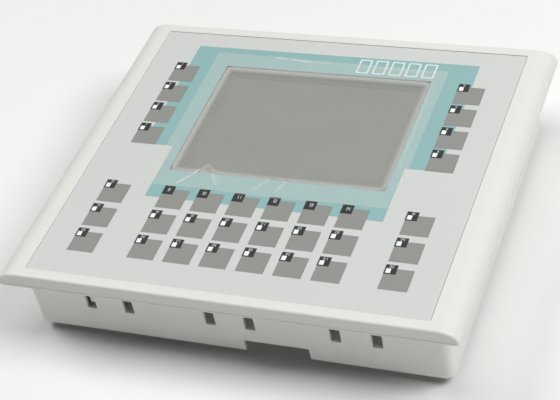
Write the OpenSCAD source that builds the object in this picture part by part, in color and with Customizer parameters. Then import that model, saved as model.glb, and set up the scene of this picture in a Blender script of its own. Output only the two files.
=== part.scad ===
// Operator panel with 32 membrane keys and a touch display, for mounting in a cabinet door.
// It lies on its back: +Z is the normal of the operating face, +X its width, +Y its top.
// The origin is under the middle of the panel, on the face that it rests on.

/* [Front bezel] */
// Width of the bezel over its rear lip
bezel_w = 243; // [243:1:248]
// Height of the bezel over its rear lip
bezel_h = 212; // [212:1:216]
// Radius of the bezel's upright corners
bezel_r = 2; // [1.5:0.5:3]
// How far the rear lip stands proud of the side face
lip_out = 0.4; // [0.2:0.1:0.6]
// Thickness of the rear lip
lip_h = 0.7; // [0.6:0.1:0.8]
// Width of the rolled side at the left and right
roll_x = 11; // [10:0.5:12]
// Height of the rolled side
roll_z = 6.3; // [6:0.1:6.5]
// Radius of the long edge at the top and bottom
edge_r = 1.3; // [1:0.1:1.6]
// Thickness of the plate behind the printed foil
plate_t = 2.5; // [2.4:0.1:2.6]

/* [Printed foil] */
// Width of the foil
foil_w = 212.7; // [212:0.1:213]
// Height of the foil
foil_h = 198.1; // [198:0.1:198.6]
// Thickness of the foil
foil_t = 0.5; // [0.4:0.1:0.6]
// Gap between the foil and the bezel's rim
foil_gap = 0.3; // [0.2:0.1:0.4]
// How far the rim stands above the foil
rim_proud = 0.4; // [0.2:0.1:0.6]

/* [Display] */
// Width of the window
window_w = 120; // [118:1:122]
// Height of the window
window_h = 89; // [88:1:90]
// Height of the window's centre above the foil's centre
window_y = 27.5; // [27:0.5:28]
// Thickness of the touch glass
glass_t = 1.8; // [1.4:0.1:1.8]
// Visible width inside the foam spacer
view_w = 113; // [110:1:115]
// Visible height inside the foam spacer
view_h = 82; // [80:1:84]

/* [Keys] */
// Width of a key
key_w = 14.5; // [14:0.1:14.8]
// Height of a key
key_h = 14; // [13.8:0.1:14.2]
// Thickness of a key's plate
key_t = 1; // [0.8:0.1:1]
// Travel of a key
key_travel = 0.4; // [0.3:0.05:0.4]
// Gap round a key in the foil
key_gap = 0.1; // [0.05:0.05:0.15]
// Distance of the outer key columns from the middle
outer_x = 83.2; // [83:0.1:84]
// Spacing of the six inner key columns
inner_pitch = 19.72; // [19.4:0.1:20]
// Height of the top row of side keys
side_top_y = 62.25; // [62:0.25:63]
// Spacing of the side keys' rows
side_pitch = 18; // [17.8:0.1:18.2]
// Height of the top row of lower keys
low_top_y = -38.85; // [-39.05:0.1:-38.65]
// Spacing of the lower keys' rows
low_pitch = 18.7; // [18.5:0.1:18.8]
// Width of the black tag at a key's corner
tag_w = 6.2; // [6:0.1:6.4]
// Height of the tag
tag_h = 6.4; // [6.2:0.1:6.6]
// How far the tag reaches above its key
tag_over = 2.6; // [2.4:0.1:2.8]

/* [Rear housing] */
// Width of the housing, which passes through the door's cut-out
housing_w = 225; // [224:1:226]
// Height of the housing
housing_h = 192.5; // [191.5:0.5:193]
// Radius of the housing's corners
housing_r = 5; // [5:0.5:6]
// Thickness of the housing's walls
wall_t = 2.2; // [2:0.1:2.4]
// Width of a clamp slot
slot_w = 5.4; // [5:0.1:6]
// Height of a clamp slot
slot_h = 15; // [14:0.5:15]
// Depth from the foil's face to the lower end of the slots
slot_deep = 27.4; // [27:0.1:27.4]
// Distance between the two slots of a pair
slot_pair = 21.3; // [20:0.1:22]
// Distance between one pair of slots and the next
pair_pitch = 66.2; // [64:0.2:68]
// Width of the cable notch in the lower wall
notch_w = 34.5; // [30:0.5:36]
// Left end of the cable notch
notch_x = 5; // [4:0.5:6]
// Height of the cable notch
notch_h = 7.1; // [6.5:0.1:7.5]

/* [Depth] */
// Height of the foil's face above the face that the panel rests on
foil_z = 48; // [48:0.1:48.4]
// Depth from the foil's face to the flange's rear face
flange_deep = 7.4; // [7.2:0.1:7.4]
// Depth from the foil's face to the end of the housing's walls
wall_deep = 43; // [42.8:0.1:43.2]
// Height of the rear cover
cover_h = 18; // [17.8:0.1:18]

/* [Hidden] */
$fn = 48;
e = 0.01;

rim_z = foil_z + rim_proud;
plate_top = foil_z - foil_t;
plate_bot = plate_top - plate_t;
flange_z = foil_z - flange_deep;
wall_z = foil_z - wall_deep;

// The display's layers, from the glass down
glass_top = plate_top - 0.5;
glass_bot = glass_top - glass_t;
spacer_bot = glass_bot - 2;
lip_t = 0.5;
cell_top = spacer_bot - lip_t;
cell_bot = cell_top - 1.8;
carrier_top = cell_bot - 6;
carrier_t = 1;
carrier_bot = carrier_top - carrier_t;
glass_w = window_w + 9;
glass_h = window_h + 9;
cell_w = 132;
cell_h = 99;
lcd_frame_w = 140;
lcd_frame_h = 106;
lamp_y = -48;
lamp_l = 128;

// The transport film's edges
film_left = -69.5;
film_right = 67;
film_low = -29.5;
film_high = 82.5;
film_t = 0.1;

// The groove in the flange, and the gasket in it
groove_out = 3.2;
groove_in = 6.2;
groove_deep = 2;

// The key board and what stands on it
key_board_top = plate_bot - 1.2;
key_board_t = 1.2;
dome_h = 0.5;
dome_r = 4;
plunger_r = 2.5;
plunger_bot = key_board_top + dome_h + key_travel + 0.1;
led_w = 2.4;
led_h = 3;
led_inset = 0.8;
tag_left = -key_w / 2 - 0.3;
tag_bottom = key_h / 2 + tag_over - tag_h;

// The main board, and the floor that it hangs in
floor_bot = cover_h;
floor_t = 2.2;
floor_top = floor_bot + floor_t;
board_top = cover_h;
board_t = 1.6;
board_bot = board_top - board_t;
bay_y = 5;
cover_w = 168;
cover_l = 142;
cover_t = 2;
cover_front = bay_y - cover_l / 2;
opening_w = 160;
opening_l = 134;

// Fixings
boss_places = [for (x = [-104, 0, 104], y = [-86, 86]) [x, y]];
stud_places = concat(
    [for (x = [-66.5, 66.5], y = [-48, -67]) [x, y]],
    [for (x = [-96, 96], y = [53, 17, -48, -67]) [x, y]]
);
standoff_places = [for (x = [-70, 70], y = [-50, 62]) [x, y]];
ear_places = [for (x = [-89, 89], y = [-44, 56]) [x, y]];
m3_r = 1.5;
m3_clear = 1.7;
earth_x = -97;
earth_y = -76;

// The snap tab behind the lower wall, across the first clamp slot
tab_left = -78.3;
tab_w = 6.8;
tab_t = 2.3;
tab_low = 23.2;
tab_y = wall_t - housing_h / 2 + 0.1;

// The sockets on the board's lower edge, by centre and width
power_x = -62;
power_w = 12;
serial_x = -32;
serial_w = 30.8;
usb_x = 3;
usb_w = 14.4;
net_x = 30;
net_w = 16;
card_y = 13;
card_w = 26;

// Each key is its name, its centre and whether it has a status light
function side_keys() = [
    for (row = [0:3], side = [0, 1])
        [str("key_f", 2 * row + side + 1), (2 * side - 1) * outer_x, side_top_y - row * side_pitch, true]
];
function low_x(col) = col == 0 ? -outer_x : col == 7 ? outer_x : (col - 3.5) * inner_pitch;
function low_name(row, col) =
    row > 0 ? str("key_k", 8 * row - 5 + col)
    : col == 0 ? "key_k1"
    : col == 7 ? "key_k2"
    : str("key_f", 8 + col);
function low_keys() = [
    for (row = [0:2], col = [0:7])
        [low_name(row, col), low_x(col), low_top_y - row * low_pitch, row > 0 || col == 0 || col == 7]
];
KEYS = concat(side_keys(), low_keys());

// A flat rectangle with round corners, about the origin
module rounded(w, h, r) {
    square([w - 2 * r, h], center = true);
    square([w, h - 2 * r], center = true);
    for (x = [-1, 1], y = [-1, 1])
        translate([x * (w / 2 - r), y * (h / 2 - r)]) circle(r);
}

// The same rectangle as a solid between two heights
module slab(w, h, r, z0, z1) {
    translate([0, 0, z0]) linear_extrude(z1 - z0) rounded(w, h, r);
}

// A box between two corners
module block(x0, x1, y0, y1, z0, z1) {
    translate([x0, y0, z0]) cube([x1 - x0, y1 - y0, z1 - z0]);
}

// A round rod between two heights
module rod(x, y, r, z0, z1) {
    translate([x, y, z0]) cylinder(h = z1 - z0, r = r);
}

// A key's outline, with its upper left corner cut out for the tag
module key_outline(grow) {
    difference() {
        square([key_w + 2 * grow, key_h + 2 * grow], center = true);
        translate([-key_w, tag_bottom + grow])
            square([key_w + tag_left + tag_w - grow, key_h]);
    }
}

// The outline of a tag, and of the light inside it, about the key's centre
module tag_outline() {
    translate([tag_left, tag_bottom]) square([tag_w, tag_h]);
}
module led_outline(grow) {
    translate([tag_left + led_inset - grow, tag_bottom + led_inset - grow])
        square([led_w + 2 * grow, led_h + 2 * grow]);
}

// Repeats what it is given at each key, or only at those with a light
module at_keys(lit_only = false) {
    for (k = KEYS)
        if (k[3] || !lit_only) translate([k[1], k[2], 0]) children();
}

// Repeats what it is given at each clamp slot of the lower wall
module at_slots() {
    for (pair = [-1, 0, 1], side = [-0.5, 0.5])
        translate([pair * pair_pitch + side * slot_pair - 0.4, 0, 0]) children();
}

// The bezel's section between the flange and the rim, over a width, with an arc at both ends
module bezel_section(width, arc_w, arc_h) {
    right = [for (a = [0:9:90]) [width / 2 - arc_w * (1 - cos(a)), rim_z - arc_h * (1 - sin(a))]];
    left = [for (a = [90:-9:0]) [arc_w * (1 - cos(a)) - width / 2, rim_z - arc_h * (1 - sin(a))]];
    polygon(concat([[-width / 2, flange_z + lip_h / 2], [width / 2, flange_z + lip_h / 2]], right, left));
}

// The bezel's outside: a thin rear lip under a body with rolled sides and straight ends
module bezel_outside() {
    side_w = bezel_w - 2 * lip_out;
    side_h = bezel_h - 2 * lip_out;
    slab(bezel_w, bezel_h, bezel_r, flange_z, flange_z + lip_h);
    intersection() {
        slab(side_w, side_h, bezel_r - lip_out, flange_z, rim_z);
        rotate([90, 0, 0]) linear_extrude(bezel_h, center = true) bezel_section(side_w, roll_x, roll_z);
        rotate([90, 0, 90]) linear_extrude(bezel_w, center = true) bezel_section(side_h, edge_r, edge_r);
    }
}

module front_bezel() color("#DDDFDA") {
    difference() {
        bezel_outside();
        slab(foil_w + 2 * foil_gap, foil_h + 2 * foil_gap, 0.5, plate_top, rim_z + 1);
        slab(housing_w - 6, housing_h - 5.5, 5, flange_z - 1, plate_bot);
        translate([0, window_y, 0]) {
            slab(window_w, window_h, 0.5, plate_bot - 1, rim_z);
            slab(glass_w + 0.4, glass_h + 0.4, 0.5, plate_bot - 1, glass_top);
        }
        gasket_ring(0, flange_z - 1);
        at_keys() {
            translate([0, 0, foil_z - key_t - key_travel - 0.1]) linear_extrude(4) key_outline(0.25);
            rod(0, 0, plunger_r + 0.5, plate_bot - 1, foil_z);
        }
        at_keys(true) translate([0, 0, plate_bot - 1]) linear_extrude(5) led_outline(0.2);
    }
    difference() {
        for (p = boss_places) rod(p[0], p[1], 3.2, carrier_top, plate_bot + e);
        for (p = boss_places) rod(p[0], p[1], m3_r, carrier_top - 1, plate_bot - 1.5);
    }
    for (p = stud_places) rod(p[0], p[1], 1.5, key_board_top, plate_bot + e);
    // The snap tab that shows inside one clamp slot
    block(tab_left, tab_left + tab_w, tab_y, tab_y + tab_t, tab_low, plate_bot + e);
}

// A ring that fills the flange's groove, less a clearance, from a height up to the groove's floor
module gasket_ring(clear, z0) {
    out = 2 * (groove_out + clear);
    in = 2 * (groove_in - clear);
    difference() {
        slab(bezel_w - out, bezel_h - out, 4, z0, flange_z + groove_deep);
        slab(bezel_w - in, bezel_h - in, 1.5, z0 - 1, flange_z + groove_deep + 1);
    }
}

module mounting_gasket() color("#3A3B3A") {
    gasket_ring(0.1, flange_z - 0.5);
}

module overlay_foil() color("#D5D6D4") {
    difference() {
        translate([0, 0, plate_top + foil_t / 2]) cube([foil_w, foil_h, foil_t], center = true);
        translate([0, window_y, 0]) slab(window_w, window_h, 0.5, plate_top - 1, foil_z + 1);
        at_keys() translate([0, 0, plate_top - 1]) linear_extrude(3) {
            key_outline(key_gap);
            tag_outline();
        }
    }
}

module key_tags() color("#333333") {
    difference() {
        at_keys() translate([0, 0, plate_top]) linear_extrude(foil_t) tag_outline();
        at_keys(true) translate([0, 0, plate_top - 1]) linear_extrude(3) led_outline(0.05);
    }
}

module status_leds() color("white") {
    at_keys(true) translate([0, 0, key_board_top]) linear_extrude(foil_z - key_board_top) led_outline(0);
}

module protective_film() color([0.9, 0.95, 0.95, 0.4]) {
    block(film_left, film_right, film_low, film_high, foil_z, foil_z + film_t);
}

module touch_glass() color([0.6, 0.65, 0.65, 0.6]) {
    translate([0, window_y, 0]) slab(glass_w, glass_h, 1, glass_bot, glass_top);
}

module display_spacer() color("#AEAFA6") {
    translate([0, window_y, 0]) difference() {
        slab(glass_w, glass_h, 1, spacer_bot, glass_bot);
        slab(view_w, view_h, 3, spacer_bot - 1, glass_bot + 1);
    }
}

module lcd_panel() color("#979993") {
    translate([0, window_y, 0]) slab(cell_w, cell_h, 0.5, cell_bot, cell_top);
}

module lcd_frame() color("silver") {
    translate([0, window_y, 0]) difference() {
        slab(lcd_frame_w, lcd_frame_h, 1, carrier_top, spacer_bot);
        slab(lcd_frame_w - 1, lcd_frame_h - 1, 0.6, carrier_top - 1, cell_top);
        slab(118, 88, 1, carrier_top, spacer_bot + 1);
    }
}

module backlight_tray() color("#E8E8E2") {
    translate([0, window_y, 0]) difference() {
        slab(lcd_frame_w - 1.2, lcd_frame_h - 1.2, 0.5, carrier_top, cell_bot);
        block(-66, 66, lamp_y - 2, lamp_y + 2, carrier_top + 1, cell_bot + 1);
    }
}

module backlight_lamp() color("white") {
    translate([-lamp_l / 2, window_y + lamp_y, carrier_top + 3]) rotate([0, 90, 0]) cylinder(h = lamp_l, r = 1.3);
}

module key_board() color("#2E6B45") {
    difference() {
        union() {
            block(-108, 108, -91, -28, key_board_top - key_board_t, key_board_top);
            for (side = [-1, 1])
                translate([side * 90.5, 26, key_board_top - key_board_t / 2])
                    cube([35, 108 + e, key_board_t], center = true);
        }
        for (p = boss_places) rod(p[0], p[1], 3.8, key_board_top - 3, key_board_top + 1);
    }
}

// Snap domes, each a stepped shallow cone
module key_domes() color("silver") {
    at_keys() translate([0, 0, key_board_top]) {
        cylinder(h = 0.2, r = dome_r);
        translate([0, 0, 0.2 - e]) cylinder(h = dome_h - 0.2 + e, r1 = dome_r - 0.3, r2 = 1.2);
    }
}

// The sheet-steel plate, with its pressed-in standoffs for the main board
module carrier_plate() color("#B4B7B5") {
    difference() {
        union() {
            slab(214, 182, 4, carrier_bot, carrier_top);
            for (p = standoff_places)
                translate([p[0], p[1], board_top]) cylinder(h = carrier_bot - board_top + e, r = 3, $fn = 6);
        }
        for (p = boss_places) rod(p[0], p[1], m3_clear, carrier_bot - 1, carrier_top + 1);
        for (p = standoff_places) rod(p[0], p[1], m3_r, board_top - 1, board_top + 8);
        block(-17, 17, -35.5, -32, carrier_bot - 1, carrier_top + 1);
        block(38, 62, -41.5, -38.2, carrier_bot - 1, carrier_top + 1);
    }
}

module main_board() color("#24603C") {
    difference() {
        block(-77, 77, -58, 69, board_bot, board_top);
        for (p = standoff_places) rod(p[0], p[1], m3_clear, board_bot - 1, board_top + 1);
    }
    // Soldered parts on the upper side: processor, memory, capacitors and coil
    block(-14, 13, -6, 21, board_top, board_top + 2.4);
    for (x = [26, 46]) block(x, x + 12, 0, 18, board_top, board_top + 1.2);
    for (x = [-60, -49, -38]) rod(x, -22, 4, board_top, board_top + 9);
    block(-62, -50, -4, 8, board_top, board_top + 5);
    rod(-40, 40, 10, board_top, board_top + 4);
}

module inverter_board() color("#2B6A44") {
    block(-50, 50, 58, 74, carrier_bot - 2.5, carrier_bot - 0.9);
    block(-22, 6, 60, 72, carrier_bot - 9.5, carrier_bot - 2.5);
    block(36, 48, 62, 70, carrier_bot - 7, carrier_bot - 2.5);
    for (x = [-46, 30]) rod(x, 66, 2, carrier_bot - 1, carrier_bot);
}

module flat_cables() color("#D9D4C4") {
    display_y = window_y - lcd_frame_h / 2;
    block(-15, 15, -34, -33.7, board_top, carrier_top + 2.4);
    block(-15, 15, -34, display_y, carrier_top + 2.1, carrier_top + 2.4);
    block(40, 60, -40, -39.7, board_top, key_board_top - key_board_t);
}

// A socket's outline in the cover's front wall, from its lowest point up to the floor
module socket_cut(x, w, z0) {
    gap = 0.25;
    y = cover_front;
    block(x - w / 2 - gap, x + w / 2 + gap, y - 1, y + cover_t + 1, z0 - gap, cover_h + 1);
}

module power_terminal() color("#2F5E49") {
    y = cover_front;
    difference() {
        block(power_x - power_w / 2, power_x + power_w / 2, y - 0.5, y + 11.5, board_bot - 11, board_bot);
        for (x = [power_x - 2.54, power_x + 2.54]) {
            block(x - 1.7, x + 1.7, y - 1, y + 7, board_bot - 9, board_bot - 5.6);
            rod(x, y + 4, 1.6, board_bot - 12, board_bot - 5.8);
        }
    }
}

module serial_port() color("#C9CBC8") {
    axis_z = board_bot - 6.25;
    y = cover_front + 1;
    block(serial_x - serial_w / 2, serial_x + serial_w / 2, y, y + 11, board_bot - 12.5, board_bot);
    translate([serial_x, cover_front + 1 + e, axis_z]) rotate([90, 0, 0]) difference() {
        linear_extrude(5) polygon([[-8.5, 4.15], [8.5, 4.15], [7.3, -4.15], [-7.3, -4.15]]);
        for (pin = [-2:2]) translate([pin * 2.76, 1.42, 1]) cylinder(h = 5, r = 0.55);
        for (pin = [-1.5:1.5]) translate([pin * 2.76, -1.42, 1]) cylinder(h = 5, r = 0.55);
    }
    for (side = [-1, 1])
        translate([serial_x + side * 12.5, cover_front + 1 + e, axis_z]) rotate([90, 0, 0]) difference() {
            cylinder(h = 5, r = 2.7, $fn = 6);
            translate([0, 0, 1]) cylinder(h = 5, r = 1.4);
        }
}

module usb_port() color("#C4C6C4") {
    y = cover_front;
    side = usb_w / 2;
    difference() {
        block(usb_x - side, usb_x + side, y - 1, y + 13, board_bot - 7, board_bot);
        block(usb_x - side + 0.6, usb_x + side - 0.6, y - 2, y + 9, board_bot - 6.4, board_bot - 0.8);
    }
    block(usb_x - 5.5, usb_x + 5.5, y - 0.5, y + 9 + e, board_bot - 2.9, board_bot - 1.1);
}

module ethernet_port() color("#BFC1BF") {
    y = cover_front;
    difference() {
        block(net_x - net_w / 2, net_x + net_w / 2, y - 1, y + 20, board_bot - 13.5, board_bot);
        block(net_x - 5.9, net_x + 5.9, y - 2, y + 12, board_bot - 10.5, board_bot - 2.4);
        block(net_x - 3, net_x + 3, y - 2, y + 12, board_bot - 12.3, board_bot - 10);
    }
}

module card_slot() color("#C6C8C6") {
    difference() {
        block(60, cover_w / 2 + 0.5, card_y - card_w / 2, card_y + card_w / 2, board_bot - 3, board_bot);
        block(63, cover_w / 2 + 1, card_y - 12.2, card_y + 12.2, board_bot - 2.3, board_bot - 0.6);
    }
}

module rear_housing() color("#C3C4C0") {
    inner_w = housing_w - 2 * wall_t;
    inner_h = housing_h - 2 * wall_t;
    front = -housing_h / 2;
    difference() {
        union() {
            difference() {
                slab(housing_w, housing_h, housing_r, wall_z, flange_z);
                slab(inner_w, inner_h, housing_r - wall_t, wall_z - 1, flange_z + 1);
            }
            slab(inner_w + wall_t, inner_h + wall_t, housing_r - wall_t / 2, floor_bot, floor_top);
            for (p = boss_places) rod(p[0], p[1], 4.2, floor_bot, carrier_bot);
            for (p = ear_places) rod(p[0], p[1], 3.5, floor_bot, floor_top + 7);
            rod(earth_x, earth_y, 4.6, floor_bot, floor_top + 8);
        }
        translate([0, bay_y, 0]) slab(opening_w, opening_l, 2, floor_bot - 1, floor_top + 1);
        for (p = boss_places) {
            rod(p[0], p[1], m3_clear, floor_bot - 1, carrier_bot + 1);
            rod(p[0], p[1], 3.2, floor_bot - 1, floor_top + 0.5);
        }
        for (p = ear_places) rod(p[0], p[1], m3_r, floor_bot - 1, floor_top + 6);
        rod(earth_x, earth_y, 2, floor_bot - 1, floor_top + 7);
        for (turn = [0, 180]) rotate([0, 0, turn]) at_slots()
            translate([0, front, foil_z - slot_deep + slot_h / 2])
                cube([slot_w, 4 * wall_t, slot_h], center = true);
        block(notch_x, notch_x + notch_w, front - 1, front + wall_t + 1, wall_z - 1, wall_z + notch_h);
    }
}

module rear_cover() color("#BDBEBA") {
    difference() {
        union() {
            translate([0, bay_y, 0]) slab(cover_w, cover_l, 5, 0, cover_h);
            for (p = ear_places)
                translate([p[0], p[1], 0]) slab(12, 12, 2, cover_h - 2.5, cover_h);
        }
        translate([0, bay_y, 0])
            slab(cover_w - 2 * cover_t, cover_l - 2 * cover_t, 3, cover_t, cover_h + 1);
        for (p = ear_places) rod(p[0], p[1], m3_clear, cover_h - 4, cover_h + 1);
        socket_cut(power_x, power_w, board_bot - 11);
        socket_cut(serial_x, serial_w, board_bot - 12.5);
        socket_cut(usb_x, usb_w, board_bot - 7);
        socket_cut(net_x, net_w, board_bot - 13.5);
        translate([cover_w / 2, card_y, cover_h])
            cube([3 * cover_t, card_w + 0.5, 2 * (cover_h - board_bot + 3.25)], center = true);
        // Air slots at the cover's top end
        for (x = [-60:8:60]) block(x - 1.5, x + 1.5, 48, 66, -1, cover_t + 1);
    }
}

// A screw that points up, with its head below z
module screw(r, head_r, head_h, length) {
    translate([0, 0, -head_h]) difference() {
        cylinder(h = head_h + length, r = r);
        translate([0, 0, -1]) cylinder(h = 2.4, r = head_r * 0.4);
    }
    translate([0, 0, -head_h]) difference() {
        cylinder(h = head_h, r = head_r);
        translate([0, 0, -1]) cylinder(h = 2.4, r = head_r * 0.4);
    }
}

module housing_screws() color("#9A9C9B") {
    for (p = boss_places)
        translate([p[0], p[1], floor_top + 0.5]) screw(m3_r, 2.8, 2.4, plate_bot - 2 - floor_top - 0.5);
}

module short_screws() color("#9A9C9B") {
    for (p = standoff_places) translate([p[0], p[1], board_bot]) screw(m3_r, 2.8, 2.4, 8);
    for (p = ear_places) translate([p[0], p[1], cover_h - 2.5]) screw(m3_r, 2.8, 2.4, 8);
}

module earth_screw() color("#B08D45") {
    translate([earth_x, earth_y, floor_bot - 0.8]) screw(2, 3.8, 2.8, 8);
    difference() {
        rod(earth_x, earth_y, 4.8, floor_bot - 0.8, floor_bot);
        rod(earth_x, earth_y, 2, floor_bot - 2, floor_bot + 1);
    }
}

// A key: a plate flush with the foil, and the plunger that presses its dome
module key(k) color("#979892") {
    translate([k[1], k[2], 0]) {
        translate([0, 0, foil_z - key_t]) linear_extrude(key_t) key_outline(0);
        rod(0, 0, plunger_r, plunger_bot, foil_z - key_t + e);
    }
}

front_bezel();
mounting_gasket();
overlay_foil();
key_tags();
status_leds();
protective_film();
touch_glass();
display_spacer();
lcd_panel();
lcd_frame();
backlight_tray();
backlight_lamp();
key_board();
key_domes();
carrier_plate();
main_board();
inverter_board();
flat_cables();
power_terminal();
serial_port();
usb_port();
ethernet_port();
card_slot();
rear_housing();
rear_cover();
housing_screws();
short_screws();
earth_screw();
for (k = KEYS)
    key(k);
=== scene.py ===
import math
import bmesh
import bpy
from mathutils import Matrix, Vector


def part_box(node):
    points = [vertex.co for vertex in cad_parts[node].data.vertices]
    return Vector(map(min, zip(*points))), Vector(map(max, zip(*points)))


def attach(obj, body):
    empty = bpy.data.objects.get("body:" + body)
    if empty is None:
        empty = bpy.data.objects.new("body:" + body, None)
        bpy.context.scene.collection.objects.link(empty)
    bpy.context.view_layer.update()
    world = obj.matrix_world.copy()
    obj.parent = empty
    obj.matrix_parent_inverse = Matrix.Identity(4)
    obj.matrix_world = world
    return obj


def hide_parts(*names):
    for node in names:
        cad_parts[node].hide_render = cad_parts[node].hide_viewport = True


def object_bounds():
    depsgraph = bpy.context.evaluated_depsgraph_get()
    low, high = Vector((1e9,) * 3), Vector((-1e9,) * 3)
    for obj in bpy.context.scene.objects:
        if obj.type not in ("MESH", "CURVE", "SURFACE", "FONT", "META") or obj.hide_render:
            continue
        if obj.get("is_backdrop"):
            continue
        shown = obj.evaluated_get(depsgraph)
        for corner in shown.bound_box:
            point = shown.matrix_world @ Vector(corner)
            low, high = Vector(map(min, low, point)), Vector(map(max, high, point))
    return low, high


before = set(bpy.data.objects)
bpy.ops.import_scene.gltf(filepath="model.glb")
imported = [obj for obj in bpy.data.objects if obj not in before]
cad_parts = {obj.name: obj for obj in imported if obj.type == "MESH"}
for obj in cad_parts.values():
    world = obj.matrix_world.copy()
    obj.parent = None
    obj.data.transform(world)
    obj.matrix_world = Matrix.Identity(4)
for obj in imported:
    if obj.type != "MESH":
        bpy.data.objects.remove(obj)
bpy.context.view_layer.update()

# FRONT BEZEL
# A light grey frame moulded in PC/ABS, with a rolled shoulder, a thin rear lip and a recess for the
# foil. It is one moulding: the plate behind the foil has a pocket and a hole for each key, and it
# carries the screw bosses and a snap tab at its back.
MM = 0.001
foil_low, foil_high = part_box("overlay_foil")
bezel_low, bezel_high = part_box("front_bezel")
glass_low, glass_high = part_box("touch_glass")
FOIL_Z = foil_high.z / MM
RIM_Z = bezel_high.z / MM
FLANGE_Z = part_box("rear_housing")[1].z / MM
PLATE_TOP = foil_low.z / MM
PLATE_T = 2.5
PLATE_BOTTOM = PLATE_TOP - PLATE_T
BEZEL_W = (bezel_high.x - bezel_low.x) / MM
BEZEL_H = (bezel_high.y - bezel_low.y) / MM
FOIL_W = (foil_high.x - foil_low.x) / MM
FOIL_H = (foil_high.y - foil_low.y) / MM
WINDOW = (120, 89)
WINDOW_R = 0.5
WINDOW_Y = (glass_low.y + glass_high.y) / 2 / MM
KEY_NAMES = sorted(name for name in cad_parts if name[:4] == "key_" and name[5:].isdigit())


def srgb(code, alpha=1.0):
    """An sRGB hex colour as the linear one that Blender works in."""
    parts = [int(code[i:i + 2], 16) / 255 for i in (1, 3, 5)]
    return (*[p / 12.92 if p <= 0.04045 else ((p + 0.055) / 1.055) ** 2.4 for p in parts], alpha)


def add(tree, kind, values=None, links=None, **settings):
    """One node, with its settings, its sockets' values and the sockets that feed it."""
    node = tree.nodes.new(kind)
    for name, value in settings.items():
        setattr(node, name, value)
    for socket, value in (values or {}).items():
        node.inputs[socket].default_value = value
    for socket, source in (links or {}).items():
        tree.links.new(source, node.inputs[socket])
    return node


def material(name, **values):
    """A new material: its tree, its Principled shader with these constants, and object coordinates."""
    made = bpy.data.materials.new(name)
    made.use_nodes = True
    tree = made.node_tree
    tree.nodes.clear()
    shader = add(tree, "ShaderNodeBsdfPrincipled", {k.replace("_", " "): v for k, v in values.items()})
    add(tree, "ShaderNodeOutputMaterial", links={"Surface": shader.outputs[0]})
    return made, tree, shader, add(tree, "ShaderNodeTexCoord").outputs["Object"]


def moulded(name, colour, shade, grain_mm, bump, rough, **values):
    """Injection-moulded plastic: a spark-eroded grain, faint flow clouds between two near colours.

    The eye sees a soft satin face. The real grain, about 0.1 mm, is drawn coarser so that it shows.
    """
    cloud_mm = 45
    made, tree, shader, where = material(name, Roughness=rough, IOR=1.53, **values)
    clouds = add(tree, "ShaderNodeTexNoise", {"Scale": 1 / (cloud_mm * MM), "Detail": 2}, {"Vector": where})
    fine = add(tree, "ShaderNodeTexNoise", {"Scale": 1 / (grain_mm * MM), "Detail": 3}, {"Vector": where})
    tint = add(tree, "ShaderNodeMix", {6: srgb(colour), 7: srgb(shade)}, {0: clouds.outputs[0]},
               data_type="RGBA")
    gloss = add(tree, "ShaderNodeMapRange", {3: rough - 0.06, 4: rough + 0.08}, {0: fine.outputs[0]})
    relief = add(tree, "ShaderNodeBump", {"Strength": bump, "Distance": 0.05 * MM},
                 {"Height": fine.outputs[0]})
    tree.links.new(tint.outputs[2], shader.inputs["Base Color"])
    tree.links.new(gloss.outputs[0], shader.inputs["Roughness"])
    tree.links.new(relief.outputs[0], shader.inputs["Normal"])
    return made


def matt_film(name, colour):
    """Screen-printed polyester: a velvet texture over flat ink, with faint unevenness of the ink.

    The eye sees an even matt colour. The real velvet is finer, and is drawn coarser so that it shows.
    """
    ink_mm = 30
    velvet_mm = 0.25
    made, tree, shader, where = material(name, Base_Color=srgb(colour), Roughness=0.42, IOR=1.57)
    ink = add(tree, "ShaderNodeTexNoise", {"Scale": 1 / (ink_mm * MM), "Detail": 4}, {"Vector": where})
    tint = add(tree, "ShaderNodeHueSaturation", {"Color": srgb(colour)})
    level = add(tree, "ShaderNodeMapRange", {3: 0.985, 4: 1.015}, {0: ink.outputs[0]})
    velvet = add(tree, "ShaderNodeTexNoise", {"Scale": 1 / (velvet_mm * MM), "Detail": 2}, {"Vector": where})
    relief = add(tree, "ShaderNodeBump", {"Strength": 0.08, "Distance": 0.02 * MM},
                 {"Height": velvet.outputs[0]})
    tree.links.new(level.outputs[0], tint.inputs["Value"])
    tree.links.new(tint.outputs[0], shader.inputs["Base Color"])
    tree.links.new(relief.outputs[0], shader.inputs["Normal"])
    return made


def corner_outline(w, h, r, steps=10):
    """Points round a rectangle with round corners, anticlockwise, about the origin."""
    points = []
    for quarter, (sx, sy) in enumerate([(1, 1), (-1, 1), (-1, -1), (1, -1)]):
        for i in range(steps + 1):
            a = math.radians(90 * (quarter + i / steps))
            points.append((sx * (w / 2 - r) + r * math.cos(a), sy * (h / 2 - r) + r * math.sin(a)))
    return points


def loft(bm, rings):
    """A closed skin through rings of (x, y, z) in mm, flat at both ends; the rings run upwards."""
    rows = [[bm.verts.new(Vector(p) * MM) for p in ring] for ring in rings]
    for low, high in zip(rows, rows[1:]):
        for i in range(len(low)):
            j = (i + 1) % len(low)
            bm.faces.new((low[i], low[j], high[j], high[i]))
    bm.faces.new(rows[0][::-1])
    bm.faces.new(rows[-1])


def frame_ring(bm, outer, inner, z0, z1, x=0, y=0):
    """The space between two outlines with as many points each, from one height to another."""
    rings = ((outer, z0), (outer, z1), (inner, z1), (inner, z0))
    rows = [[bm.verts.new(Vector((px + x, py + y, z)) * MM) for px, py in ring] for ring, z in rings]
    for one, two in zip(rows, rows[1:] + rows[:1]):
        for i in range(len(one)):
            j = (i + 1) % len(one)
            bm.faces.new((one[i], one[j], two[j], two[i]))


def prism(bm, outline, z0, z1, x=0, y=0):
    """An outline as a solid between two heights, moved to x, y."""
    loft(bm, [[(px + x, py + y, z) for px, py in outline] for z in (z0, z1)])


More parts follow.
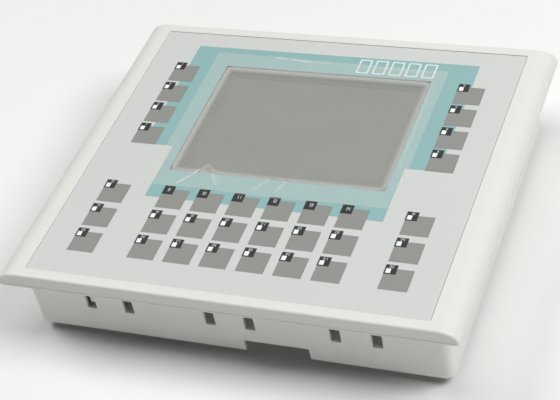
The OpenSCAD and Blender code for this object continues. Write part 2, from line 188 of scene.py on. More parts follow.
def box(bm, x0, x1, y0, y1, z0, z1):
    """A box between two corners, as a prism."""
    prism(bm, [(x0, y0), (x1, y0), (x1, y1), (x0, y1)], z0, z1)


def circle(r, steps=24):
    """Points round a circle, anticlockwise."""
    turns = [2 * math.pi * i / steps for i in range(steps)]
    return [(r * math.cos(turn), r * math.sin(turn)) for turn in turns]


def piece(name, bm, *materials):
    """The mesh as an object in the scene, with its materials."""
    mesh = bpy.data.meshes.new(name)
    bm.normal_update()
    bm.to_mesh(mesh)
    bm.free()
    for m in materials:
        mesh.materials.append(m)
    made = bpy.data.objects.new(name, mesh)
    bpy.context.scene.collection.objects.link(made)
    return made


def apply_modifiers(made):
    """Bakes an object's modifiers into its mesh."""
    bpy.context.view_layer.update()
    seen = made.evaluated_get(bpy.context.evaluated_depsgraph_get())
    baked = bpy.data.meshes.new_from_object(seen)
    made.modifiers.clear()
    made.data = baked


def combine(made, tool, operation):
    """One exact boolean step of an object with another, which is used up."""
    step = made.modifiers.new("combine", "BOOLEAN")
    step.operation = operation
    step.solver = "EXACT"
    step.object = tool
    apply_modifiers(made)
    bpy.data.objects.remove(tool)


def join(made, other):
    """Adds another solid to an object."""
    combine(made, other, "UNION")


def carve(made, cutter):
    """Takes the cutter's mesh out of an object."""
    combine(made, piece("cutter", cutter), "DIFFERENCE")


def soften(made, width, segments=2, angle=40):
    """Rounds every edge sharper than the angle."""
    edge = made.modifiers.new("edge radius", "BEVEL")
    edge.width = width * MM
    edge.segments = segments
    edge.limit_method = "ANGLE"
    edge.angle_limit = math.radians(angle)
    edge.use_clamp_overlap = False
    edge.miter_outer = "MITER_ARC"
    apply_modifiers(made)


def shade(made, angle=50):
    """Smooth shading, with edges sharper than the angle kept crisp and large faces kept flat."""
    for face in made.data.polygons:
        face.use_smooth = True
    made.data.set_sharp_from_angle(angle=math.radians(angle))
    even = made.modifiers.new("even normals", "WEIGHTED_NORMAL")
    even.keep_sharp = True
    even.weight = 100


def finish_piece(made, body, slot, *nodes):
    """Attaches a piece to the body it rides on and hides the CAD nodes it stands for. The slot is not used.
    """
    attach(made, body)
    if nodes:
        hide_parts(*nodes)


KEY_W, KEY_H = 14.5, 14.0
TAG_W, TAG_H = 6.2, 6.4
TAG_OUT = 0.3
TAG_OVER = 2.6
TAG_LEFT = -KEY_W / 2 - TAG_OUT
TAG_BOTTOM = KEY_H / 2 + TAG_OVER - TAG_H
LED_W, LED_H = 2.4, 3.0
LED_INSET = 0.8


def key_centre(name):
    """A key's centre in mm, from its box in the frame."""
    low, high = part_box(name)
    return (low.x + high.x) / 2 / MM, (low.y + high.y) / 2 / MM


def key_outline(grow):
    """A key's outline with its upper left corner cut away for the tag."""
    x, y = KEY_W / 2 + grow, KEY_H / 2 + grow
    notch_x, notch_y = TAG_LEFT + TAG_W - grow, TAG_BOTTOM + grow
    return [(-x, -y), (x, -y), (x, y), (notch_x, y), (notch_x, notch_y), (-x, notch_y)]


def has_light(name):
    """F9 to F14 have no status light."""
    return not (name[4] == "f" and int(name[5:]) > 8)


def rectangle(x0, y0, w, h):
    """A rectangle's corners, anticlockwise, from its lower left one."""
    return [(x0, y0), (x0 + w, y0), (x0 + w, y0 + h), (x0, y0 + h)]


def led_outline(grow):
    """The status light's outline about its key's centre."""
    low = LED_INSET - grow
    return rectangle(TAG_LEFT + low, TAG_BOTTOM + low, LED_W + 2 * grow, LED_H + 2 * grow)


def on_window_wall(x, y, facing):
    """Whether a face at x, y in mm is one of the window's four upright walls."""
    reach = 0.3
    at_side = abs(abs(x) - WINDOW[0] / 2) < reach and abs(y - WINDOW_Y) < WINDOW[1] / 2
    at_end = abs(abs(y - WINDOW_Y) - WINDOW[1] / 2) < reach and abs(x) < WINDOW[0] / 2
    return abs(facing.z) < 0.5 and (at_side or at_end)


LIP_OUT = 0.4
LIP_H = 0.7
CORNER_R = 2
ROLL_W, ROLL_H = 11, 6.3
ROLL_STEP = 3
EDGE_R = 1.3
RECESS_EDGE = 0.2
LIP_EDGE = 0.15
FOIL_GAP = 0.3
FOIL_R = 0.5
PLUNGER_R = 3
POCKET_Z = FOIL_Z - 1.5
POCKET_GAP = 0.25
LED_GAP = 0.2
GLASS_POCKET = (WINDOW[0] + 9.4, WINDOW[1] + 9.4)
SKIN = 0.5
GROOVE_OUT, GROOVE_IN, GROOVE_DEEP = 3.2, 6.2, 2
BOSS_R = 3.2
BOSS_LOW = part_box("carrier_plate")[1].z / MM
BOSSES = [(x, y) for x in (-104, 0, 104) for y in (-86, 86)]
TAB_LEFT, TAB_W, TAB_T = -78.3, 6.8, 2.3
TAB_LOW = 23.2
housing_low, housing_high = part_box("rear_housing")
HOUSING_W = (housing_high.x - housing_low.x) / MM
HOUSING_H = (housing_high.y - housing_low.y) / MM
TAB_Y = TAB_T - HOUSING_H / 2
CAVITY_W, CAVITY_H = HOUSING_W - 6, HOUSING_H - 5.5
BELOW = FLANGE_Z - 4
# A cutter runs this far past a face, and a joined part this far into its neighbour.
PAST = 1
FUSE = 0.2
# The shell's section has upright sides that roll over into the flat rim.
side_x = BEZEL_W / 2 - LIP_OUT
side_y = BEZEL_H / 2 - LIP_OUT
section = [(side_x, BELOW)]
for degrees in range(0, 91, ROLL_STEP):
    turned = math.radians(degrees)
    section.append((side_x - ROLL_W * (1 - math.cos(turned)), RIM_Z - ROLL_H * (1 - math.sin(turned))))
section += [(-x, z) for x, z in section[::-1]]
bm = bmesh.new()
loft(bm, [[(x, y, z) for x, z in section] for y in (side_y, -side_y)])
bmesh.ops.recalc_face_normals(bm, faces=bm.faces[:])
bezel_plastic = moulded(
    "moulded PC-ABS light grey", "#DDDFD9", "#DADCD6", grain_mm=0.5, bump=0.12, rough=0.48)
bezel = piece("front_bezel_shell", bm, bezel_plastic)
soften(bezel, EDGE_R, segments=5)
bm = bmesh.new()
prism(bm, corner_outline(FOIL_W + 2 * FOIL_GAP, FOIL_H + 2 * FOIL_GAP, FOIL_R, 4), PLATE_TOP, RIM_Z + PAST)
carve(bezel, bm)
soften(bezel, RECESS_EDGE, angle=60)
# The shell is drawn too deep and cut off inside the lip, so that its foot stays sharp.
bm = bmesh.new()
box(bm, -BEZEL_W, BEZEL_W, -BEZEL_H, BEZEL_H, BELOW - 6 * PAST, FLANGE_Z + LIP_H / 2)
carve(bezel, bm)
bm = bmesh.new()
prism(bm, corner_outline(BEZEL_W, BEZEL_H, CORNER_R, 6), FLANGE_Z, FLANGE_Z + LIP_H)
lip = piece("lip", bm)
soften(lip, LIP_EDGE)
join(bezel, lip)
# Behind the plate is the cavity for the housing. The window, the keys' plungers and the status
# lights go through the plate.
bm = bmesh.new()
prism(bm, corner_outline(CAVITY_W, CAVITY_H, 5, 6), FLANGE_Z - PAST, PLATE_BOTTOM)
carve(bezel, bm)
bm = bmesh.new()
prism(bm, corner_outline(*WINDOW, WINDOW_R, 4), PLATE_BOTTOM - PAST, PLATE_TOP + PAST, 0, WINDOW_Y)
for name in KEY_NAMES:
    prism(bm, circle(PLUNGER_R), PLATE_BOTTOM - PAST, POCKET_Z + FUSE, *key_centre(name))
    if has_light(name):
        prism(bm, led_outline(LED_GAP), PLATE_BOTTOM - PAST, PLATE_TOP + PAST, *key_centre(name))
carve(bezel, bm)
# The touch sensor has a pocket in the plate's back, and each key has one in its face.
bm = bmesh.new()
prism(bm, corner_outline(*GLASS_POCKET, WINDOW_R, 4), PLATE_BOTTOM - PAST, PLATE_TOP - SKIN, 0, WINDOW_Y)
for name in KEY_NAMES:
    prism(bm, key_outline(POCKET_GAP), POCKET_Z, FOIL_Z + PAST, *key_centre(name))
carve(bezel, bm)
# A groove in the flange holds the gasket.
bm = bmesh.new()
outer = corner_outline(BEZEL_W - 2 * GROOVE_OUT, BEZEL_H - 2 * GROOVE_OUT, 4)
inner = corner_outline(BEZEL_W - 2 * GROOVE_IN, BEZEL_H - 2 * GROOVE_IN, 1.5)
frame_ring(bm, outer, inner, FLANGE_Z - PAST, FLANGE_Z + GROOVE_DEEP)
carve(bezel, bm)
# Six screw bosses and the snap tab, which shows in one of the housing's slots, stand on the plate's back.
bm = bmesh.new()
for x, y in BOSSES:
    prism(bm, circle(BOSS_R), BOSS_LOW, PLATE_BOTTOM + FUSE, x, y)
box(bm, TAB_LEFT, TAB_LEFT + TAB_W, TAB_Y, TAB_Y + TAB_T, TAB_LOW, PLATE_BOTTOM + FUSE)
join(bezel, piece("bosses", bm))
shade(bezel)
# The window's upright walls get a near-black colour: painted shade for the shadowed gap at the window's edge.
painted_window_shade = matt_film("painted shade on the window walls", "#303230")
bezel.data.materials.append(painted_window_shade)
for face in bezel.data.polygons:
    x, y = face.center.xy / MM
    if on_window_wall(x, y, face.normal):
        face.material_index = 1
finish_piece(bezel, "panel", "bezel_plastic", "front_bezel")

# MOUNTING GASKET
# A closed-cell rubber strip, glued into the groove of the flange, that seals the cut-out's rim.
# Foamed rubber is dead matt, with fine pores.
gasket_rubber, tree, shader, where = material(
    "foamed EPDM", Base_Color=srgb("#2B2C2B"), Roughness=0.95, IOR=1.5)
pores = add(tree, "ShaderNodeTexVoronoi", {"Scale": 1 / (0.6 * MM)}, {"Vector": where})
relief = add(tree, "ShaderNodeBump", {"Strength": 0.5, "Distance": 0.1 * MM}, {"Height": pores.outputs[0]})
tree.links.new(relief.outputs[0], shader.inputs["Normal"])
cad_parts["mounting_gasket"].data.materials[0] = gasket_rubber

# OVERLAY FOIL
# A 0.5 mm polyester sheet laid in the bezel's recess, screen-printed on its back in light grey with
# a teal field. Its face has a fine matt texture. Keys, tags and the display show through its cut-outs.
TEAL_TOP = 87.9
TEAL_STEP = 1.3
TEAL_BOTTOM = -38.6
TEAL_UPPER_X = 83.0
TEAL_LOWER_X = 65.3
CUT_GAP = 0.1
grey_print = matt_film("screen-printed polyester light grey", "#CDCFCC")
teal_print = matt_film("screen-printed polyester teal", "#8DB4B3")
bm = bmesh.new()
prism(bm, rectangle(-FOIL_W / 2, -FOIL_H / 2, FOIL_W, FOIL_H), PLATE_TOP, FOIL_Z)
foil = piece("overlay_foil_sheet", bm, grey_print, teal_print, painted_window_shade)
bm = bmesh.new()
prism(bm, corner_outline(*WINDOW, WINDOW_R, 4), PLATE_TOP - PAST, FOIL_Z + PAST, 0, WINDOW_Y)
for name in KEY_NAMES:
    prism(bm, key_outline(CUT_GAP), PLATE_TOP - PAST, FOIL_Z + PAST, *key_centre(name))
carve(foil, bm)
bm = bmesh.new()
for name in KEY_NAMES:
    tag = rectangle(TAG_LEFT, TAG_BOTTOM, TAG_W, TAG_H)
    prism(bm, tag, PLATE_TOP - PAST, FOIL_Z + PAST, *key_centre(name))
carve(foil, bm)
bm = bmesh.new()
bm.from_mesh(foil.data)
print_edges = [((x * MM, 0, 0), (1, 0, 0))
               for x in (-TEAL_UPPER_X, -TEAL_LOWER_X, TEAL_LOWER_X, TEAL_UPPER_X)]
print_edges += [((0, y * MM, 0), (0, 1, 0)) for y in (TEAL_BOTTOM, TEAL_STEP, TEAL_TOP)]
for point, across in print_edges:
    parts = bm.verts[:] + bm.edges[:] + bm.faces[:]
    bmesh.ops.bisect_plane(bm, geom=parts, plane_co=point, plane_no=across)
for face in bm.faces:
    x, y = face.calc_center_median().xy / MM
    upper = TEAL_STEP < y < TEAL_TOP and abs(x) < TEAL_UPPER_X
    lower = TEAL_BOTTOM < y < TEAL_STEP and abs(x) < TEAL_LOWER_X
    face.material_index = 1 if upper or lower else 0
    # The foil's window walls take the same painted shade.
    if on_window_wall(x, y, face.normal):
        face.material_index = 2
bm.to_mesh(foil.data)
bm.free()
finish_piece(foil, "panel", "printed_foil", "overlay_foil")

# PRINTED MOTIF
# Five thin white outlines printed in the upper right of the teal field: plain decoration.
# The print is a hundredth of a millimetre of white ink.
white_ink = matt_film("white screen ink", "#DDE5E4")
MOTIF_X, MOTIF_Y = 15.6, 74.4
MOTIF_W, MOTIF_H = 7.2, 11.9
MOTIF_PITCH = 9.35
MOTIF_LINE = 0.95
INK_T = 0.01
bm = bmesh.new()
for n in range(5):
    x = MOTIF_X + n * MOTIF_PITCH + MOTIF_W / 2
    y = MOTIF_Y + MOTIF_H / 2
    outer = corner_outline(MOTIF_W, MOTIF_H, 0.5, 2)
    inner = corner_outline(MOTIF_W - 2 * MOTIF_LINE, MOTIF_H - 2 * MOTIF_LINE, 0.2, 2)
    frame_ring(bm, outer, inner, FOIL_Z, FOIL_Z + INK_T, x, y)
motif = piece("printed_motif", bm, white_ink)
finish_piece(motif, "panel", "printed_foil")

# MEMBRANE KEYS
# Printed grey key fields, each with a plunger behind it that presses a snap dome.
# They share the foil's matt face.
key_print = matt_film("screen-printed polyester mid grey", "#8F908C")
for name in KEY_NAMES:
    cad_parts[name].data.materials[0] = key_print

# KEY TAGS
# Black printed tags at the keys' upper left corners, each with a plain number in white ink.
# The numbers are drawn as strokes of a stencil.
tag_print = matt_film("black screen ink", "#343536")
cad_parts["key_tags"].data.materials[0] = tag_print
STROKES = {
    "a": (0, 1, 1, 1), "b": (1, 0.5, 1, 1), "c": (1, 0, 1, 0.5), "d": (0, 0, 1, 0),
    "e": (0, 0, 0, 0.5), "f": (0, 0.5, 0, 1), "g": (0, 0.5, 1, 0.5),
}
DIGITS = ["abcdef", "bc", "abged", "abgcd", "fgbc", "afgcd", "afgedc", "abc", "abcdefg", "abcdfg"]


def write_number(bm, number, x, y, height, line, z):
    """A number in thin white strokes, centred on x, y."""
    space = 0.5
    wide = height * 0.5
    step = wide + space
    text = str(number)
    x -= (len(text) * step - space) / 2
    for digit in text:
        for stroke in DIGITS[int(digit)]:
            x0, y0, x1, y1 = STROKES[stroke]
            px0, px1 = x + x0 * wide - line / 2, x + x1 * wide + line / 2
            py0, py1 = y + (y0 - 0.5) * height - line / 2, y + (y1 - 0.5) * height + line / 2
            box(bm, px0, px1, py0, py1, z, z + INK_T)
        x += step


def key_number(name):
    """The keys are numbered 1 to 32: the function keys first, then the system keys."""
    return int(name[5:]) + (0 if name[4] == "f" else 14)


SMALL_NUMBER = (TAG_H - 1.3, 1.4, 0.26)
LARGE_NUMBER = (TAG_H / 2 + 0.3, 2.0, 0.3)
bm = bmesh.new()
for name in KEY_NAMES:
    x, y = key_centre(name)
    up, tall, line = SMALL_NUMBER if has_light(name) else LARGE_NUMBER
    write_number(bm, key_number(name), x + TAG_LEFT + TAG_W / 2, y + TAG_BOTTOM + up, tall, line, FOIL_Z)
numbers = piece("tag_numbers", bm, white_ink)
finish_piece(numbers, "panel", "tag_print")

# STATUS LIGHTS
# White translucent light guides that stand on the key board and end flush in the tags' windows.
# Unlit, they show milky white.


def mottled(name, light, dark, patch_mm, detail, **values):
    """A smooth material whose colour drifts between two near tones, in patches of this size."""
    made, tree, shader, where = material(name, **values)
    size = {"Scale": 1 / (patch_mm * MM), "Detail": detail}
    patches = add(tree, "ShaderNodeTexNoise", size, {"Vector": where})
    tint = add(tree, "ShaderNodeMix", {6: srgb(light), 7: srgb(dark)}, {0: patches.outputs[0]},
               data_type="RGBA")
    tree.links.new(tint.outputs[2], shader.inputs["Base Color"])
    return made


led_white = mottled("opal polycarbonate", "#F8F9F7", "#EEF0EE", patch_mm=2, detail=1,
                    Base_Color=srgb("#F6F7F5"), Roughness=0.3, IOR=1.58,
                    Subsurface_Weight=0.2, Subsurface_Scale=1 * MM)
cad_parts["status_leds"].data.materials[0] = led_white

# TOUCH GLASS
# The resistive touch sensor behind the window: a hard-coated polyester face on glass.
# It is clear and slightly grey, with a lighter, more opaque band painted round its edge: painted light
# that hides the shadow the plate's edge casts on the recessed display.
touch_clear, tree, shader, where = material(
    "hard-coated touch sensor", Base_Color=srgb("#8B8C86"), Roughness=0.25, IOR=1.5, Alpha=0.3)
coat = add(tree, "ShaderNodeTexNoise", {"Scale": 1 / (0.4 * MM), "Detail": 2}, {"Vector": where})
relief = add(tree, "ShaderNodeBump", {"Strength": 0.05, "Distance": 0.02 * MM}, {"Height": coat.outputs[0]})
tree.links.new(relief.outputs[0], shader.inputs["Normal"])
# Painted light: the band round the edge is lighter and more opaque, to cover the shadow on the display below.
BORDER = 4.5
BORDER_END = 0.5
place = add(tree, "ShaderNodeVectorMath", {1: (0, WINDOW_Y * MM, 0)}, {0: where}, operation="SUBTRACT")
place = add(tree, "ShaderNodeVectorMath", links={0: place.outputs[0]}, operation="ABSOLUTE")
place = add(tree, "ShaderNodeSeparateXYZ", links={0: place.outputs[0]})
edges = []
for axis in (0, 1):
    half = WINDOW[axis] / 2
    span = {1: (half - BORDER) * MM, 2: (half - BORDER_END) * MM}
    edges.append(add(tree, "ShaderNodeMapRange", span, {0: place.outputs[axis]},
                     interpolation_type="SMOOTHSTEP"))
painted_light_band = add(tree, "ShaderNodeMath", links={i: edges[i].outputs[0] for i in (0, 1)}, operation="MAXIMUM")
painted_band_cover = add(tree, "ShaderNodeMapRange", {3: 0.3, 4: 0.8}, {0: painted_light_band.outputs[0]})
tint = add(tree, "ShaderNodeMix", {6: srgb("#8B8C86"), 7: srgb("#ACACA2")}, {0: painted_light_band.outputs[0]},
           data_type="RGBA")
tree.links.new(painted_band_cover.outputs[0], shader.inputs["Alpha"])
tree.links.new(tint.outputs[2], shader.inputs["Base Color"])
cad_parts["touch_glass"].data.materials[0] = touch_clear

# DISPLAY SPACER
# A frame die-cut from light grey polyurethane foam, glued between the touch sensor and the display
# to keep dust out. Its open cells look dead matt and slightly uneven.
spacer_foam = moulded("polyurethane foam grey", "#ABADA4", "#A5A79E", grain_mm=0.8, bump=0.4, rough=0.9)
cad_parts["display_spacer"].data.materials[0] = spacer_foam

# LIQUID CRYSTAL PANEL
# The display's glass cell between two polarising films, held in the display's steel frame.
# Switched off, it is an even warm grey with the films' soft sheen.
lcd_grey = mottled("liquid crystal cell", "#8D8D83", "#929289", patch_mm=25, detail=3,
                   Base_Color=srgb("#8F8F86"), Roughness=0.35, IOR=1.5)
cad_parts["lcd_panel"].data.materials[0] = lcd_grey

# DISPLAY MODULE BEHIND THE CELL
# A pressed frame of tin-plated steel round the cell, a white moulded backlight tray and its lamp
# tube. Tin gives a soft grey gloss in small rolled patches, and the tray is plain satin white.


def plated(name, colour, rough, low, high, patch_mm, detail):
    """Plated or drawn metal: its gloss changes between two roughnesses in patches of this size."""
    made, tree, shader, where = material(name, Base_Color=srgb(colour), Roughness=rough, Metallic=1.0)
    size = {"Scale": 1 / (patch_mm * MM), "Detail": detail}
    patches = add(tree, "ShaderNodeTexNoise", size, {"Vector": where})
    gloss = add(tree, "ShaderNodeMapRange", {3: low, 4: high}, {0: patches.outputs[0]})
    tree.links.new(gloss.outputs[0], shader.inputs["Roughness"])
    return made


tinned = plated("tin-plated steel", "#C9CBCB", rough=0.35, low=0.28, high=0.45, patch_mm=1.5, detail=4)
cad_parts["lcd_frame"].data.materials[0] = tinned
tray_white = moulded("polycarbonate white", "#EDEDE8", "#E6E6E0", grain_mm=0.6, bump=0.1, rough=0.4)
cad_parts["backlight_tray"].data.materials[0] = tray_white
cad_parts["backlight_lamp"].data.materials[0] = led_white

# CIRCUIT BOARDS
# Three glass-fibre boards: one behind the keys, and two held off the back of the carrier plate. Their
# green solder resist is glossy, and the weave of the glass shows faintly through it.
WAVES = 6


def board_green(name, colour, weave_mm):
    """Solder resist over woven glass: two crossed bands of the cloth's threads."""
    made, tree, shader, where = material(name, Base_Color=srgb(colour), Roughness=0.35, IOR=1.5)
    scale = 1 / (weave_mm * MM) / WAVES
    warp = add(tree, "ShaderNodeTexWave", {"Scale": scale}, {"Vector": where}, bands_direction="X")
    weft = add(tree, "ShaderNodeTexWave", {"Scale": scale}, {"Vector": where}, bands_direction="Y")
    cloth = add(tree, "ShaderNodeMath", links={0: warp.outputs[1], 1: weft.outputs[1]}, operation="ADD")
    level = add(tree, "ShaderNodeMapRange", {2: 2.0, 3: 0.9, 4: 1.1}, {0: cloth.outputs[0]})
    tint = add(tree, "ShaderNodeHueSaturation", {"Color": srgb(colour)}, {"Value": level.outputs[0]})
    tree.links.new(tint.outputs[0], shader.inputs["Base Color"])
    return made


board_material = board_green("solder resist on glass fibre", "#22603D", 1.2)
for name in ("key_board", "main_board", "inverter_board"):
    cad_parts[name].data.materials[0] = board_material

# METAL INSIDE
# Stamped and tin-plated spring-steel domes on the key board, and the bent carrier plate of
# galvanised sheet steel. Its zinc shows as large pale flakes.
zinc, tree, shader, where = material(
    "galvanised sheet steel", Base_Color=srgb("#AEB2B2"), Roughness=0.4, Metallic=1.0)
flakes = add(tree, "ShaderNodeTexVoronoi", {"Scale": 1 / (7 * MM)}, {"Vector": where})
tint = add(tree, "ShaderNodeMix", {6: srgb("#A6AAAA"), 7: srgb("#BCC0C0")}, {0: flakes.outputs[0]},
           data_type="RGBA")
tree.links.new(tint.outputs[2], shader.inputs["Base Color"])
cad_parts["carrier_plate"].data.materials[0] = zinc
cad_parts["key_domes"].data.materials[0] = tinned

# FLAT CABLES
# Flat cables of laminated polyester, pushed into sockets on the boards. Their tinned conductors
# show through it as fine lines.
CONDUCTOR_PITCH = 1.0
ribbon, tree, shader, where = material(
    "flat cable polyester", Base_Color=srgb("#D8D3C3"), Roughness=0.4, IOR=1.57)
lines = add(tree, "ShaderNodeTexWave", {"Scale": 1 / (CONDUCTOR_PITCH * MM) / WAVES}, {"Vector": where},
            bands_direction="X")
tint = add(tree, "ShaderNodeMix", {6: srgb("#DAD5C6"), 7: srgb("#B9B8B2")}, {0: lines.outputs[1]},
           data_type="RGBA")
tree.links.new(tint.outputs[2], shader.inputs["Base Color"])
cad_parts["flat_cables"].data.materials[0] = ribbon

# PROTECTIVE FILM
# A clear polyethylene sheet stuck over the display for transport. It clings to the touch surface,
# bridges the window's step with a soft hazy edge, and has a few lifted creases.
FILM_LEFT, FILM_RIGHT = -69.3, 67.3
FILM_LOW, FILM_TOP = -29.6, 83.2
FILM_STEP = 0.75
FILM_TURN = 5
FILM_REACH = 5
FILM_DIP = 0.08
FILM_LIFT = 0.06
FILM_WAVE = 0.02
FILM_SLANT = 2.2
FILM_SAG = 0.7
FILM_T = 0.04
GLASS_Z = glass_high.z / MM


def ridge(x, y, x0, y0, x1, y1, width, height):
    """How far a crease from one point to another lifts the film at x, y."""
    along = Vector((x1 - x0, y1 - y0))
    t = max(0.0, min(1.0, (Vector((x - x0, y - y0)).dot(along)) / along.length_squared))
    off = math.hypot(x - x0 - t * along.x, y - y0 - t * along.y)
    return height * math.exp(-(off / width) ** 2) * (1 - abs(2 * t - 1) ** 3)


CREASES = [
    (-53, -28, -45, -19, 1.0, 0.5), (-46, -20, -40, -8.5, 0.9, 0.9), (-41, -9.5, -34, -15, 0.8, 0.6),
    (-38, -12, -29, -27, 1.2, 0.3), (-36, 82.0, -25, 81.3, 0.7, 0.6), (-27, 81.6, -8, 79.6, 0.6, 0.7),
    (-10, 79.8, 2, 80.6, 0.6, 0.4), (2, 80, 66, 79.0, 0.5, 0.35), (-20, -16.8, 3, -15.2, 0.8, 0.45),
    (-2, -15, -10, -28, 1.3, 0.3), (7, -15, 3, -28, 1.3, 0.3), (61, 74, 62.5, -12, 0.8, 0.25),
]


def film_height(x, y):
    """The film's height: down on the touch surface inside the window, up on the foil round it."""
    inside_x = WINDOW[0] / 2 - abs(x)
    inside_y = WINDOW[1] / 2 - abs(y - WINDOW_Y)
    reach = min(inside_x, inside_y)
    if inside_x < FILM_TURN and inside_y < FILM_TURN and reach > 0:
        reach = FILM_TURN - math.hypot(FILM_TURN - inside_x, FILM_TURN - inside_y)
    t = max(0.0, min(1.0, reach / FILM_REACH))
    t = t * t * (3 - 2 * t)
    if reach > 0:
        t = FILM_DIP + (1 - FILM_DIP) * t
    base = FOIL_Z + FILM_LIFT - t * (FOIL_Z - GLASS_Z)
    wave = FILM_WAVE * (1 + math.sin(x * 0.21 + y * 0.13) * math.sin(y * 0.17 - x * 0.05)) * (1 - t)
    return base + wave + sum(ridge(x, y, *crease) for crease in CREASES)


columns = round((FILM_RIGHT - FILM_LEFT) / FILM_STEP)
lines_up = round((FILM_TOP - FILM_LOW) / FILM_STEP)
bm = bmesh.new()
grid = []
for j in range(lines_up + 1):
    row = []
    for i in range(columns + 1):
        u, v = i / columns, j / lines_up
        x = FILM_LEFT + u * (FILM_RIGHT - FILM_LEFT)
        y = FILM_LOW + v * (FILM_TOP - FILM_SLANT * u - FILM_LOW) + FILM_SAG * math.sin(9 * u) * (1 - v) ** 6
        row.append(bm.verts.new(Vector((x, y, film_height(x, y))) * MM))
    grid.append(row)
for low, high in zip(grid, grid[1:]):
    for i in range(columns):
        bm.faces.new((low[i], low[i + 1], high[i + 1], high[i]))
clear_film, tree, shader, where = material(
    "polyethylene protective film", Base_Color=srgb("#F0F2EE"), Roughness=0.34, IOR=1.5, Alpha=0.2)
place = add(tree, "ShaderNodeSeparateXYZ", links={0: where})
# The film grows more opaque with height: where it bridges the window's step this is the haze of film in air,
# and on the lifted crease tops it is a painted highlight.
height = add(tree, "ShaderNodeMapRange", {1: GLASS_Z * MM, 2: (FOIL_Z + 1) * MM}, {0: place.outputs[2]})
haze_and_highlight = add(tree, "ShaderNodeValToRGB", links={0: height.outputs[0]})
HAZE_AND_HIGHLIGHT = [
    (0.0, 0.12), (0.06, 0.13), (0.2, 0.18), (0.4, 0.22), (0.49, 0.25),
    (0.52, 0.12), (0.6, 0.16), (0.78, 0.4), (1.0, 0.5),
]
for place_up, strength in HAZE_AND_HIGHLIGHT[1:-1]:
    haze_and_highlight.color_ramp.elements.new(place_up)
for stop, (place_up, strength) in zip(haze_and_highlight.color_ramp.elements, HAZE_AND_HIGHLIGHT):
    stop.position = place_up
    stop.color = (strength, strength, strength, 1)
haze = add(tree, "ShaderNodeTexNoise", {"Scale": 1 / (18 * MM), "Detail": 4}, {"Vector": where})
patchy = add(tree, "ShaderNodeMapRange", {3: 0.85, 4: 1.15}, {0: haze.outputs[0]})
clear = add(tree, "ShaderNodeMath", links={0: haze_and_highlight.outputs[0], 1: patchy.outputs[0]}, operation="MULTIPLY")
tree.links.new(clear.outputs[0], shader.inputs["Alpha"])
film = piece("protective_film_sheet", bm, clear_film)
thick = film.modifiers.new("film thickness", "SOLIDIFY")
thick.thickness = FILM_T * MM
thick.offset = 1
apply_modifiers(film)
shade(film, angle=80)
finish_piece(film, "panel", "clear_film", "protective_film")

# REAR HOUSING
# The moulded tub behind the door, with clamp slots, a cable notch, screw posts and a stiffening rib
# behind the slots, and the cover screwed to it. Both are the bezel's plastic with the mould's
# softened edges, and light soaks a little way into it.


def refined(node, name, edge, looks, slot, added=None):
    """Stands for a CAD node: its copy, with what is added moulded on and a radius on its sharp edges."""
    bm = bmesh.new()
    bm.from_mesh(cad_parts[node].data)
    bmesh.ops.remove_doubles(bm, verts=bm.verts[:], dist=0.001 * MM)
    bmesh.ops.dissolve_limit(bm, angle_limit=math.radians(0.5), verts=bm.verts[:], edges=bm.edges[:])
    bmesh.ops.connect_verts_concave(bm, faces=bm.faces[:])
    made = piece(name, bm)
    made.data.materials.clear()
    if added:
        join(made, piece("ribs", added))
    soften(made, edge, angle=35)
    shade(made)
    made.data.materials.append(looks)
    finish_piece(made, "panel", slot, node)


housing_plastic = moulded("moulded PC-ABS grey", "#E3E4DF", "#DEDFDA", grain_mm=0.5, bump=0.15, rough=0.5,
                          Subsurface_Weight=0.5, Subsurface_Radius=(1.0, 0.8, 0.5),
                          Subsurface_Scale=2.5 * MM)
RIB_X = 86
RIB_IN = 9.2
RIB_T = 1.6
RIB_LOW, RIB_TOP = 19, 33
ribs = bmesh.new()
for side in (-1, 1):
    y = side * (HOUSING_H / 2 - RIB_IN)
    box(ribs, -RIB_X, RIB_X, y - RIB_T / 2, y + RIB_T / 2, RIB_LOW, RIB_TOP)
MOULD_EDGE = 0.3
refined("rear_housing", "rear_housing_moulding", MOULD_EDGE, housing_plastic, "housing_plastic", ribs)
refined("rear_cover", "rear_cover_moulding", MOULD_EDGE, housing_plastic, "housing_plastic")

# SOCKETS
# Folded, nickel-plated shells of the data sockets and a moulded terminal for the supply, soldered to
# the main board. Nickel is bright and slightly yellow; the terminal is satin green.
nickel = plated("nickel-plated steel", "#C8C6BF", rough=0.3, low=0.22, high=0.4, patch_mm=3, detail=3)
FOLD_EDGE = 0.12
for node in ("serial_port", "usb_port", "ethernet_port", "card_slot"):
    refined(node, node + "_shell", FOLD_EDGE, nickel, "nickel_shell")
TERMINAL_EDGE = 0.15
terminal_green = moulded("polyamide green", "#2C6A4B", "#275F43", grain_mm=0.4, bump=0.15, rough=0.5)
refined("power_terminal", "power_terminal_block", TERMINAL_EDGE, terminal_green, "terminal_green")

# SCREWS
# Turned and zinc-plated steel screws, and one brass earth screw with its washer. Zinc is a cool
# satin grey, brass a warm yellow, and both are lightly scuffed from handling.
SCREW_EDGE = 0.15
screw_zinc = plated("zinc-plated steel", "#B4B8B9", rough=0.35, low=0.25, high=0.5, patch_mm=0.8, detail=3)
brass = plated("brass", "#C2A05A", rough=0.35, low=0.25, high=0.5, patch_mm=0.8, detail=3)
for node, metal, slot in (("housing_screws", screw_zinc, "screw_steel"),
                          ("short_screws", screw_zinc, "screw_steel"), ("earth_screw", brass, "brass_screw")):
    refined(node, node + "_turned", SCREW_EDGE, metal, slot)

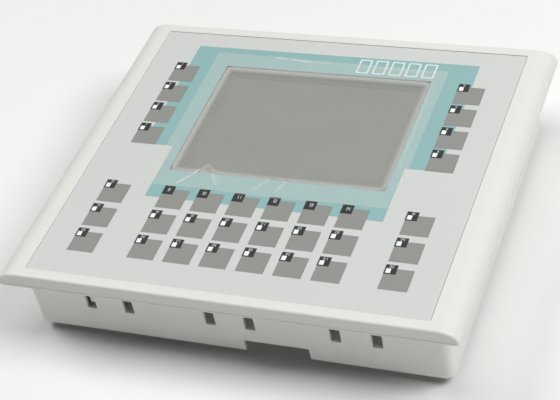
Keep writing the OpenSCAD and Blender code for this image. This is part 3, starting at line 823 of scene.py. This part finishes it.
# STUDIO
# A pale paper-topped table, a soft light overhead and one at each side, the right one strongest, and
# weak low cards in front and behind.
TABLE_W = 8000
TABLE_T = 20
LIGHT_SIZE = 0.8
floor_white = mottled("pale table", "#EEEFED", "#EAEBE9", patch_mm=2, detail=2,
                      Base_Color=srgb("#EDEEEC"), Roughness=0.7)
bm = bmesh.new()
prism(bm, rectangle(-TABLE_W / 2, -TABLE_W / 2, TABLE_W, TABLE_W), -TABLE_T, 0)
floor = piece("table", bm, floor_white)
floor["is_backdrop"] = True


def soft_light(name, place, watts):
    """A square white area light at a place in metres, facing the panel."""
    data = bpy.data.lights.new(name, "AREA")
    data.size = LIGHT_SIZE
    data.energy = watts
    lamp = bpy.data.objects.new(name, data)
    lamp.location = place
    lamp.rotation_euler = (-lamp.location).to_track_quat("-Z", "Y").to_euler()
    bpy.context.scene.collection.objects.link(lamp)


soft_light("overhead softbox", (0, 0, 1.6), 5.0)
soft_light("left softbox", (-1.0, 0.1, 1.2), 11.0)
soft_light("right softbox", (1.0, 0.1, 1.2), 17.5)
soft_light("low front card", (0.4, -1.5, 0.5), 3.0)
soft_light("low back card", (0, 1.45, 0.5), 2.0)
world = bpy.data.worlds.new("studio air")
bpy.context.scene.world = world
world.use_nodes = True
world.node_tree.nodes["Background"].inputs[0].default_value = srgb("#FAFBFB")
world.node_tree.nodes["Background"].inputs[1].default_value = 0.03
bpy.context.scene.view_settings.view_transform = "Standard"

# CAMERA
# A long lens from the front right, above: it aims a little below the panel's middle and is rolled.
AIM = Vector((8.1, -31.0, FOIL_Z)) * MM
AZIMUTH, ELEVATION, ROLL = math.radians(28.08), math.radians(41.1), math.radians(-13.16)
DISTANCE = 827.6 * MM
level = math.cos(ELEVATION)
back = Vector((math.sin(AZIMUTH) * level, -math.cos(AZIMUTH) * level, math.sin(ELEVATION)))
camera = bpy.data.objects.new("camera", bpy.data.cameras.new("camera"))
camera.data.lens = 104.5
camera.data.sensor_width = 36
camera.location = AIM + back * DISTANCE
aim_turn = (-back).to_track_quat("-Z", "Y").to_matrix().to_4x4()
camera.rotation_euler = (aim_turn @ Matrix.Rotation(ROLL, 4, "Z")).to_euler()
bpy.context.scene.collection.objects.link(camera)
bpy.context.scene.camera = camera

low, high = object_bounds()
